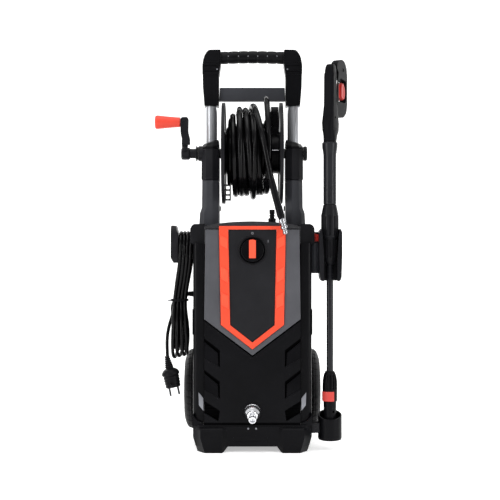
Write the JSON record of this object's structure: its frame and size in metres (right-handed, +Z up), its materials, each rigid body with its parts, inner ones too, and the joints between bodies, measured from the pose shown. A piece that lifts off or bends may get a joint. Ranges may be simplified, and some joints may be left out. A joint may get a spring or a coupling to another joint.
{
  "type": "pressure washer",
  "caption": "Upright electric pressure washer on wheels with a hose reel and crank, telescopic handle, mains cable on a hook, and a spray gun with lance.",
  "frame": {"origin": "middle of the footprint on the floor, at the centre of the object's box", "axes": "+X to the right seen from the front, +Y towards the rear, +Z up; the front panel faces -Y"},
  "size_m": [0.4287, 0.3051, 0.896],
  "materials": {
    "plastic_black": "moulded, semi-gloss",
    "plastic_dark": "moulded, fine grain",
    "panel_grey": "fine grained, satin",
    "control_grey": "satin gloss",
    "orange_plastic": "moulded, satin",
    "light_grey_plastic": "matte",
    "red_plastic": "satin gloss",
    "post_grey": "fine grain, satin",
    "aluminium_tube": "drawn, satin anodised",
    "cast_alloy": "cast",
    "motor_metal": "painted laminations",
    "steel": "turned",
    "chrome_fitting": "polished plating",
    "bush_plastic": "acetal",
    "grip_rubber": "soft grip",
    "tyre_rubber": "moulded",
    "cable_black": "glossy cable sheath",
    "hose_black": "smooth hose jacket"
  },
  "bodies": {
    "chassis": {"base_tray": "plastic_dark", "front_panel_lower": "plastic_black", "front_panel_upper": "panel_grey", "vent_inserts": "plastic_black", "vent_plates": "light_grey_plastic", "trim_frame": "orange_plastic", "control_plate": "control_grey", "switch_bezel": "plastic_black", "switch_box": "plastic_dark", "top_deck": "plastic_black", "side_cover_left": "plastic_black", "side_cover_right": "plastic_black", "rear_cover": "plastic_black", "motor": "motor_metal", "pump_head": "cast_alloy", "inlet_adaptor": "chrome_fitting", "outlet_fitting": "plastic_black", "axle": "steel", "posts": "post_grey", "bearing_housings": "plastic_dark", "reel_bushes": "bush_plastic", "cable_hook": "plastic_dark", "cable_gland": "grip_rubber", "gun_holder": "plastic_dark", "lance_cup": "plastic_dark", "mains_lead": "cable_black", "mains_hank": "cable_black", "mains_tail": "cable_black", "plug": "grip_rubber", "hose_lead": "hose_black", "hose_fitting": "chrome_fitting"},
    "handle": {"handle_tubes": "aluminium_tube", "handle_corners": "plastic_black", "handle_grip": "grip_rubber", "handle_crossbar": "plastic_dark"},
    "reel": {"reel_shaft": "plastic_dark", "reel_drum": "plastic_black", "reel_flanges": "plastic_dark", "hose_coupling": "plastic_black", "hose_clip": "plastic_black", "crank_pin": "steel", "hose_coil": "hose_black"},
    "crank": {"crank_arm": "plastic_dark"},
    "crank_grip": {"crank_grip": "orange_plastic"},
    "wheel_left": {"tyre_left": "tyre_rubber", "rim_left": "plastic_dark"},
    "wheel_right": {"tyre_right": "tyre_rubber", "rim_right": "plastic_dark"},
    "switch": {"switch_knob": "plastic_black", "switch_pointer": "orange_plastic"},
    "latch": {"holder_latch": "red_plastic"},
    "gun": {"gun_shell_left": "plastic_dark", "gun_shell_right": "plastic_dark", "gun_sleeve": "post_grey"},
    "trigger": {"trigger": "red_plastic"},
    "trigger_lock": {"trigger_lock": "plastic_black"},
    "lance": {"coupling_nut": "plastic_dark", "lance_wand": "post_grey"},
    "nozzle": {"nozzle_head": "plastic_black", "nozzle_tab": "red_plastic"}
  },
  "joints": [
    {"name": "handle_extend", "type": "slide", "parent": "chassis", "child": "handle", "axis": [0, 0, 1], "range_m": [0, 0.12]},
    {"name": "reel_spin", "type": "hinge", "parent": "chassis", "child": "reel", "pos_m": [0, -0.01, 0.6573], "axis": [1, 0, 0], "continuous": true},
    {"name": "crank_fold", "type": "hinge", "parent": "reel", "child": "crank", "pos_m": [-0.152, -0.01, 0.666], "axis": [0, -1, 0], "range_deg": [0, 90]},
    {"name": "crank_grip_spin", "type": "hinge", "parent": "crank", "child": "crank_grip", "pos_m": [-0.19, -0.01, 0.728], "axis": [1, 0, 0], "continuous": true},
    {"name": "wheel_left_spin", "type": "hinge", "parent": "chassis", "child": "wheel_left", "pos_m": [-0.14, 0.06, 0.119], "axis": [1, 0, 0], "continuous": true},
    {"name": "wheel_right_spin", "type": "hinge", "parent": "chassis", "child": "wheel_right", "pos_m": [0.14, 0.06, 0.119], "axis": [1, 0, 0], "continuous": true},
    {"name": "switch_turn", "type": "hinge", "parent": "chassis", "child": "switch", "pos_m": [0, -0.12, 0.439], "axis": [0, 1, 0], "range_deg": [0, 60]},
    {"name": "latch_press", "type": "slide", "parent": "chassis", "child": "latch", "axis": [0, 1, 0], "range_m": [0, 0.004], "stiffness_N_per_m": 600},
    {"name": "gun_lift", "type": "slide", "parent": "chassis", "child": "gun", "axis": [0, 0, 1], "range_m": [0, 0.12]},
    {"name": "trigger_pull", "type": "hinge", "parent": "gun", "child": "trigger", "pos_m": [0.181, -0.05495, 0.79532], "axis": [0.866, -0.5, 0], "range_deg": [0, 8], "stiffness_Nm_per_rad": 4},
    {"name": "trigger_lock_slide", "type": "slide", "parent": "gun", "child": "trigger_lock", "axis": [-0.866, 0.5, 0], "range_m": [-0.0015, 0.0015]},
    {"name": "lance_twist", "type": "hinge", "parent": "gun", "child": "lance", "pos_m": [0.17, -0.074, 0.52], "axis": [0, 0, 1], "range_deg": [0, 90]},
    {"name": "nozzle_twist", "type": "hinge", "parent": "lance", "child": "nozzle", "pos_m": [0.17, -0.074, 0.12], "axis": [0, 0, 1], "range_deg": [0, 90]}
  ]
}
